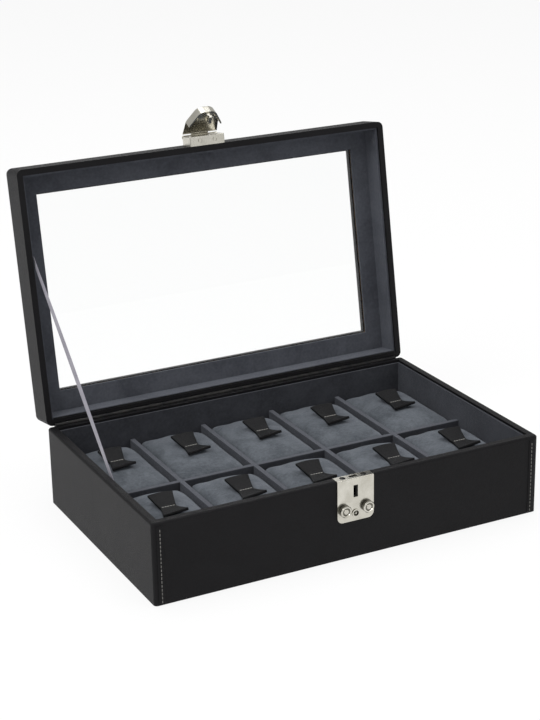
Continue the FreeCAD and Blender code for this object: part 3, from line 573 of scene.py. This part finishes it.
def makeCushion():
    half = padHalf()
    deselectAll()
    bpy.ops.mesh.primitive_cube_add(size=2, location=(0, 0, 0))
    pad = named("cushionMaster")
    shrink = cushion["shrink"]
    pad.scale = (half.x - shrink, half.y - shrink, half.z - shrink * cushion["flatten"])
    settle(pad)
    pickVerts(pad, lambda co: True)
    bpy.ops.mesh.subdivide(number_cuts=1)
    bpy.ops.object.mode_set(mode="OBJECT")
    modified(pad, "BEVEL", width=cushion["bevel"], segments=cushion["bevelSteps"],
             limit_method="ANGLE",
             angle_limit=math.radians(50))
    modified(pad, "REMESH", mode="VOXEL", voxel_size=cushion["voxel"], use_smooth_shade=True)
    blownUp(pad)
    for vert in pad.data.vertices:  # crown the top, drop its edges and keep the foot flat
        across = max(0.0, 1 - (vert.co.x / half.x) ** 2)
        along = max(0.0, 1 - (vert.co.y / half.y) ** 2)
        height = (vert.co.z + half.z) / (2 * half.z)
        crown = across ** cushion["across"] * along ** cushion["along"] - cushion["level"]
        vert.co.z += crown * cushion["crown"] * max(0.0, height) ** 2
        # slack, uneven filling
        ripple = noiseField.fractal(vert.co * cushion["rippleScale"], *cushion["rippleShape"])
        vert.co.z += ripple * cushion["ripple"] * max(0.0, height) ** 2
        for axis in (0, 1):
            limit = half[axis] - cushion["margin"]
            vert.co[axis] = max(-limit, min(limit, vert.co[axis]))
        away = (vert.co.x ** 2 + vert.co.y ** 2) / cushion["pinchWidth"] ** 2
        if height > cushion["topShare"]:
            vert.co.z -= cushion["pinch"] * math.exp(-away)
        vert.co.z = max(-half.z, vert.co.z)
    modified(pad, "SUBSURF", levels=1, render_levels=1)
    for vert in pad.data.vertices:
        vert.co.z = max(-half.z, min(half.z + cushion["proud"], vert.co.z))
    pick(pad)
    bpy.ops.object.shade_smooth()
    dressed(pad, cushionSuede)
    return pad


# pull tabs: bow-tie leather strips sewn down at the waist
tab = {"waist": 0.0134, "end": 0.0214, "front": 0.0160, "back": 0.0180, "rise": 0.0056,
       "lift": 0.0026, "thick": 0.0023, "rows": 22, "columns": 8, "lean": 2.5, "stitches": 5,
       "backCurve": 1.25, "frontCurve": 1.4, "widthCurve": 1.15, "cup": 0.0008, "cupWidth": 0.01,
       "skew": 0.12, "bevel": 0.0004, "thread": 0.00032, "threadSeat": 0.00008,
       "threadShift": 0.0004, "threadShare": 0.82, "seamMargin": 0.002, "jitter": 0.0008,
       "sunk": 0.0004,
       "off": {"front_3": (-0.0036, -0.001), "front_4": (0.0004, -0.003), "back_5": (0, 0.001)}}


def tabHeight(x, y):  # height of the strip's middle above the sewn waist
    if y >= 0:
        share = y / tab["back"]
        cup = tab["cup"] * (x / tab["cupWidth"]) ** 2
        return tab["rise"] * share ** tab["backCurve"] - cup * share
    share = -y / tab["front"]
    return tab["lift"] * share ** tab["frontCurve"] + x * tab["skew"] * share


def makeTab():
    deselectAll()
    bpy.ops.mesh.primitive_grid_add(x_subdivisions=tab["columns"], y_subdivisions=tab["rows"],
                                    size=1, location=(0, 0, 0))
    strip = named("tabMaster")
    span = tab["front"] + tab["back"]
    strip.scale = (1, span, 1)
    strip.location = (0, (tab["back"] - tab["front"]) / 2, 0)
    settle(strip)
    rows = sorted({round(vert.co.y, 6) for vert in strip.data.vertices})
    for row in rows:  # each row is narrowed to the bow-tie's width
        share = abs(row) / (tab["back"] if row > 0 else tab["front"])
        flare = min(1.0, share) ** tab["widthCurve"]
        width = tab["waist"] + (tab["end"] - tab["waist"]) * flare
        pickVerts(strip, lambda co, row=row: abs(co.y - row) < 1e-5)
        bpy.ops.transform.resize(value=(width, 1, 1), center_override=(0, row, 0))
    bpy.ops.object.mode_set(mode="OBJECT")
    for vert in strip.data.vertices:
        vert.co.z = tabHeight(vert.co.x, vert.co.y)
    modified(strip, "SOLIDIFY", thickness=tab["thick"], offset=0)
    modified(strip, "BEVEL", width=tab["bevel"], segments=2, limit_method="ANGLE",
             angle_limit=math.radians(40))
    pick(strip)
    bpy.ops.object.shade_smooth_by_angle(angle=math.radians(35))
    dressed(strip, tabLeather, tabThread)
    return strip


def threadStitch(name, length, radius, spot, turn):  # one rounded stitch, a straight capsule
    deselectAll()
    bpy.ops.mesh.primitive_uv_sphere_add(segments=10, ring_count=8, radius=radius, location=spot,
                                         rotation=turn)
    stitch = named(name)
    pick(stitch)
    bpy.ops.object.transform_apply(location=False, rotation=False, scale=True)
    for vert in stitch.data.vertices:
        vert.co.z += math.copysign(length / 2 - radius, vert.co.z) if abs(vert.co.z) > 1e-7 else 0
    settle(stitch)
    bpy.ops.object.shade_smooth()
    return stitch


def sewTab(strip):  # a row of stitches across the waist, part of the tab's own mesh
    parts = []
    step = (tab["waist"] - tab["seamMargin"]) / tab["stitches"]
    for count in range(tab["stitches"]):
        x = (count - (tab["stitches"] - 1) / 2) * step
        stitch = threadStitch("tabStitch%d" % count, step * tab["threadShare"], tab["thread"],
                              (x, tab["threadShift"], tab["thick"] / 2 + tab["threadSeat"]),
                              (0, math.pi / 2, 0))
        dressed(stitch, tabLeather, tabThread)
        for face in stitch.data.polygons:
            face.material_index = 1
        parts.append(stitch)
    pick(*parts, strip)
    bpy.ops.object.join()
    return bpy.context.object


masterCushion = makeCushion()
masterTab = sewTab(makeTab())
print("cushion and tab modelled")

chance = random.Random(cushion["seed"])
for line in ("front", "back"):
    for column in range(1, 6):
        tag = "%s_%d" % (line, column)
        low, high = (Vector(corner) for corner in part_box("cushion_" + tag))
        middle = (low + high) / 2
        pad = copied(masterCushion, "pad_" + tag, middle, chance.uniform(-1, 1) * cushion["turn"])
        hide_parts("cushion_" + tag)
        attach(pad, "place_" + tag)
        off = tab["off"].get(tag, (0, 0))
        top = Vector((middle.x + off[0] + chance.uniform(-1, 1) * tab["jitter"],
                      middle.y + off[1] + chance.uniform(-1, 1) * tab["jitter"],
                      high.z + tab["thick"] / 2 - tab["sunk"]))
        strip = copied(masterTab, "pull_" + tag, top,
                       math.radians(chance.uniform(-1, 1) * tab["lean"]))
        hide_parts("tab_" + tag)
        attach(strip, "place_" + tag)
bpy.data.objects.remove(masterCushion)
bpy.data.objects.remove(masterTab)
print("cushions and tabs placed")


# seams on the front: the side leather laps round each corner and is sewn down
seam = {"inset": 0.0063, "lap": 0.0088, "thick": 0.0005, "low": 0.0035, "high": 0.0662,
        "pitch": 0.0033, "stitch": 0.0022, "radius": 0.00033, "edge": 0.0035, "sunk": 0.0002,
        "sink": 0.0004,
        "drop": 0.0008, "trim": 0.0044, "bevel": 0.0004, "seat": 0.00008}


def makeSeams():
    low, high = (Vector(corner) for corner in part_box("base_leather"))
    for side, label in ((-1, "left"), (1, "right")):
        edge = low.x if side < 0 else high.x
        deselectAll()
        bpy.ops.mesh.primitive_cube_add(size=1, location=(
            edge - side * (seam["lap"] + seam["edge"]) / 2,
            low.y - seam["thick"] / 2 + seam["sunk"], (low.z + high.z) / 2 - seam["drop"]))
        lap = named("lap_" + label)
        lap.scale = (seam["lap"] - seam["edge"], seam["thick"] + seam["sink"],
                     high.z - low.z - seam["trim"])
        settle(lap)
        modified(lap, "BEVEL", width=seam["bevel"], segments=3)
        pick(lap)
        bpy.ops.object.shade_smooth_by_angle(angle=math.radians(40))
        dressed(lap, coverLeather)
        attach(lap, "base")
        stitches = []
        count = int((seam["high"] - seam["low"]) / seam["pitch"])
        for number in range(count + 1):
            spot = (edge - side * seam["inset"], low.y - seam["thick"] - seam["seat"],
                    seam["low"] + number * seam["pitch"])
            stitches.append(threadStitch("seamStitch", seam["stitch"], seam["radius"], spot,
                                         (0, 0, 0)))
        pick(*stitches)
        bpy.ops.object.join()
        row = named("seam_" + label)
        settle(row)
        dressed(row, seamThread)
        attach(row, "base")


makeSeams()
print("seams sewn")

# lid stay: a taut satin ribbon, flat on the linings at its ends and turned between
stay = {"foot": (-0.16657, -0.017, 0.0625), "middle": (-0.16722, 0.0575, 0.1356),
        "head": (-0.16815, 0.13817, 0.21098), "width": 0.005, "thick": 0.0003, "turn": 14.0,
        "turnCurve": 1.3, "steps": 24}


def stayPath():  # points read from the route's smooth curve
    curve = bpy.data.curves.new("stayRoute", "CURVE")
    curve.dimensions = "3D"
    spline = curve.splines.new("NURBS")
    spline.points.add(2)
    for point, spot in zip(spline.points, (stay["foot"], stay["middle"], stay["head"])):
        point.co = (*spot, 1)
    spline.order_u = 3
    spline.use_endpoint_u = True
    spline.resolution_u = stay["steps"]
    holder = bpy.data.objects.new("stayRoute", curve)
    bpy.context.scene.collection.objects.link(holder)
    bpy.context.view_layer.update()
    line = bpy.data.meshes.new_from_object(holder)
    points = [vert.co.copy() for vert in line.vertices]
    bpy.data.objects.remove(holder)
    return points


def makeStay():
    points = stayPath()
    verts, faces, uvs = [], [], []
    run = (points[-1] - points[0]).normalized()
    flat = Vector((1, 0, 0)).cross(run).normalized()
    face = run.cross(flat).normalized()
    for number, point in enumerate(points):
        share = number / (len(points) - 1)
        turn = math.radians(stay["turn"]) * math.sin(math.pi * share) ** stay["turnCurve"]
        wide = (flat * math.cos(turn) + face * math.sin(turn)) * stay["width"] / 2
        thin = (face * math.cos(turn) - flat * math.sin(turn)) * stay["thick"] / 2
        inward = Vector((stay["thick"] / 2, 0, 0))
        verts += [point + inward + wide + thin, point + inward - wide + thin,
                  point + inward - wide - thin, point + inward + wide - thin]
    for number in range(len(points) - 1):
        start = number * 4
        for corner in range(4):
            after = (corner + 1) % 4
            faces.append((start + corner, start + after, start + 4 + after, start + 4 + corner))
    faces.append((3, 2, 1, 0))
    faces.append(tuple(len(verts) - 4 + corner for corner in range(4)))
    mesh = bpy.data.meshes.new("stayRibbon")
    mesh.from_pydata(verts, [], faces)
    layer = mesh.uv_layers.new(name="UVMap")
    for loop in mesh.loops:
        layer.data[loop.index].uv = (loop.vertex_index % 4 / 4, loop.vertex_index // 4
                                     / len(points))
    ribbon = bpy.data.objects.new("stayRibbon", mesh)
    bpy.context.scene.collection.objects.link(ribbon)
    pick(ribbon)
    bpy.ops.object.mode_set(mode="EDIT")
    bpy.ops.mesh.select_all(action="SELECT")
    bpy.ops.mesh.normals_make_consistent(inside=False)
    bpy.ops.object.mode_set(mode="OBJECT")
    bpy.ops.object.shade_smooth_by_angle(angle=math.radians(40))
    dressed(ribbon, satinRibbon)
    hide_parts("lid_ribbon")
    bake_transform(ribbon)


makeStay()
print("stay strung")


# floor, lamps and background
studio = {"floor": 0.86, "floorSize": 40, "floorRough": 0.9, "aim": (0, 0, 0.08),
          "white": 0.85, "world": 0.55,
          "lamps": [("key", (-1.9, -0.6, 2.3), 1.6, 42.0), ("top", (0.2, 0.4, 2.6), 2.0, 34.0),
                    ("fill", (1.6, -2.2, 1.2), 1.4, 5.0)]}


def backgroundRays(tree):  # one where the camera, a reflection or glass looks
    path = tree.nodes.new("ShaderNodeLightPath")
    seen = math2(tree, "MAXIMUM", path.outputs["Is Camera Ray"], path.outputs["Is Glossy Ray"])
    return math2(tree, "MAXIMUM", seen, path.outputs["Is Transmission Ray"])


def addStudio():
    world = bpy.data.worlds.new("studio")
    bpy.context.scene.world = world
    world.use_nodes = True
    tree = world.node_tree
    path = tree.nodes.new("ShaderNodeLightPath")
    seen = math2(tree, "MAXIMUM", path.outputs["Is Camera Ray"],
                 path.outputs["Is Transmission Ray"])
    strength = ranged(tree, seen, studio["world"], 1.0)
    join(tree, strength, tree.nodes["Background"].inputs["Strength"])
    tree.nodes["Background"].inputs["Color"].default_value = (1, 1, 1, 1)
    deselectAll()
    bpy.ops.mesh.primitive_plane_add(size=studio["floorSize"], location=(0, 0, 0))
    floor = named("floor")
    material, tree, shader, place = newMaterial("paleFloor", Roughness=studio["floorRough"])
    grey = studio["floor"]
    shader.inputs["Base Color"].default_value = (grey, grey, grey, 1)
    glow = node(tree, "ShaderNodeEmission", Strength=1.0)
    mix = tree.nodes.new("ShaderNodeMixShader")
    join(tree, ranged(tree, backgroundRays(tree), 0.0, studio["white"]), mix.inputs[0])
    join(tree, shader.outputs[0], mix.inputs[1])
    join(tree, glow.outputs[0], mix.inputs[2])
    join(tree, mix.outputs[0], tree.nodes["Material Output"].inputs["Surface"])
    dressed(floor, material)
    for name, spot, size, power in studio["lamps"]:
        data = bpy.data.lights.new(name, "AREA")
        data.size = size
        data.energy = power
        lamp = bpy.data.objects.new(name, data)
        bpy.context.scene.collection.objects.link(lamp)
        aim = Vector(studio["aim"]) - Vector(spot)
        lamp.matrix_world = (Matrix.Translation(spot)
                             @ aim.to_track_quat("-Z", "Y").to_matrix().to_4x4())


addStudio()
bpy.context.scene.view_settings.view_transform = "Standard"
print("studio lit")

deselectAll()
